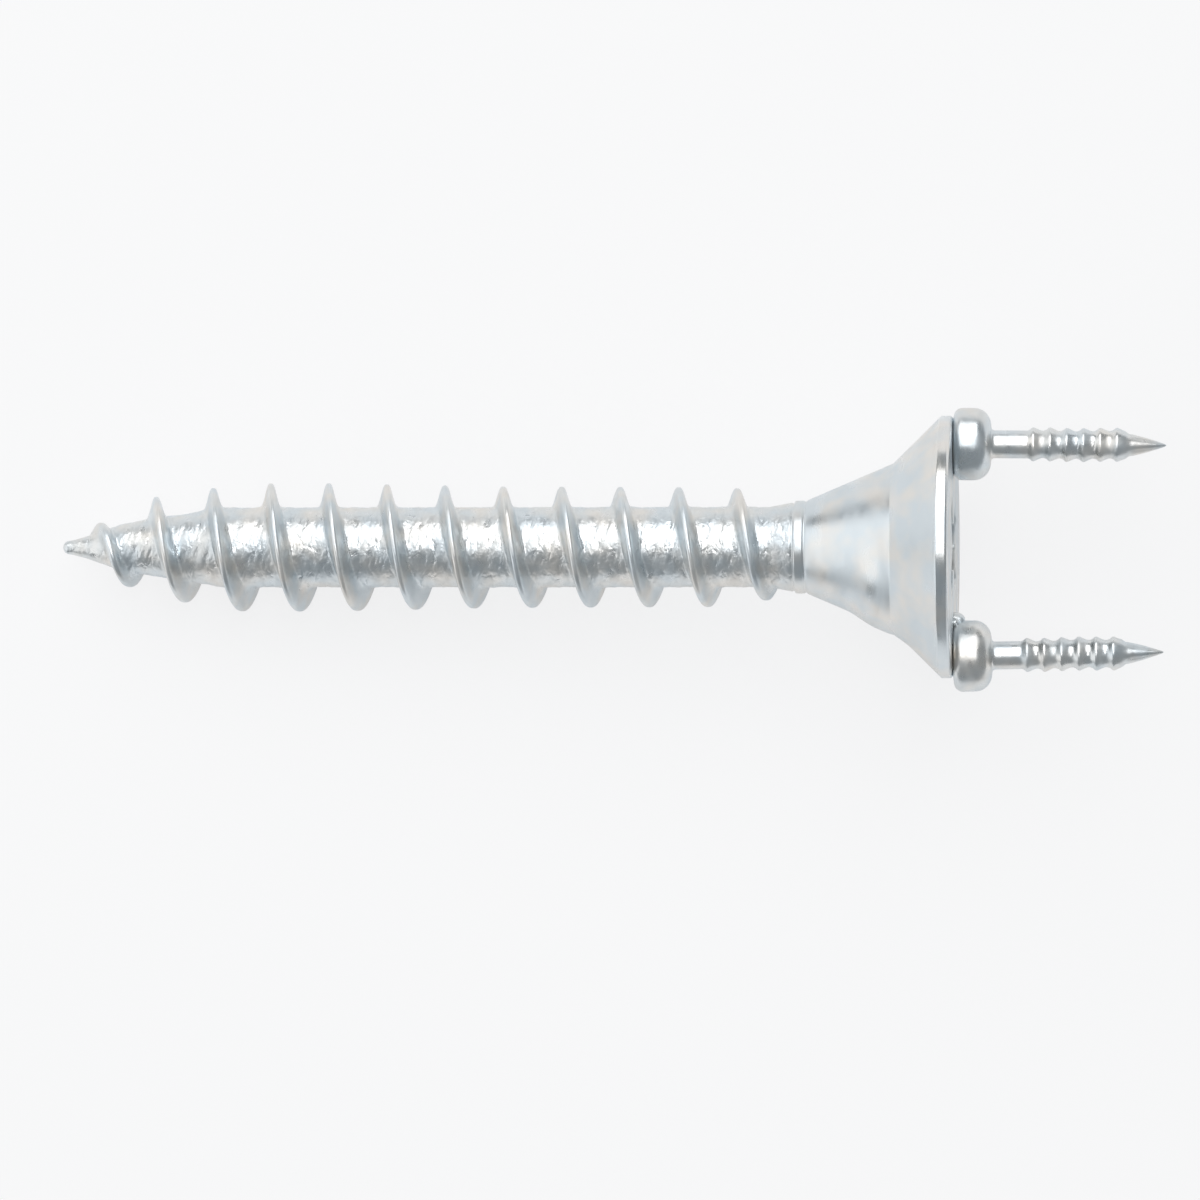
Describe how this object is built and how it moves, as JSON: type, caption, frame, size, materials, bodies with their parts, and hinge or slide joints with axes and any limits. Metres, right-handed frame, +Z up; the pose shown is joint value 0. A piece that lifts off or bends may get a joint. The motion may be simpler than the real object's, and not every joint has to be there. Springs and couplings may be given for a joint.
{
  "type": "double-headed screw",
  "caption": "Coarse-threaded wood screw with a flared countersunk head that carries ring-shanked pins welded on its face",
  "frame": {"origin": "middle of the footprint on the floor, under the screw as it lies", "axes": "+X along the screw from its point towards the pins, +Z up from the floor it lies on, +Y towards the upper pin"},
  "size_m": [0.0428, 0.011, 0.0101],
  "materials": {
    "screw_zinc": "bluish white zinc plating",
    "pin_zinc": "bluish white zinc plating"
  },
  "bodies": {
    "root": {"main_screw": "screw_zinc", "upper_pin": "pin_zinc", "lower_pin": "pin_zinc"}
  },
  "joints": []
}
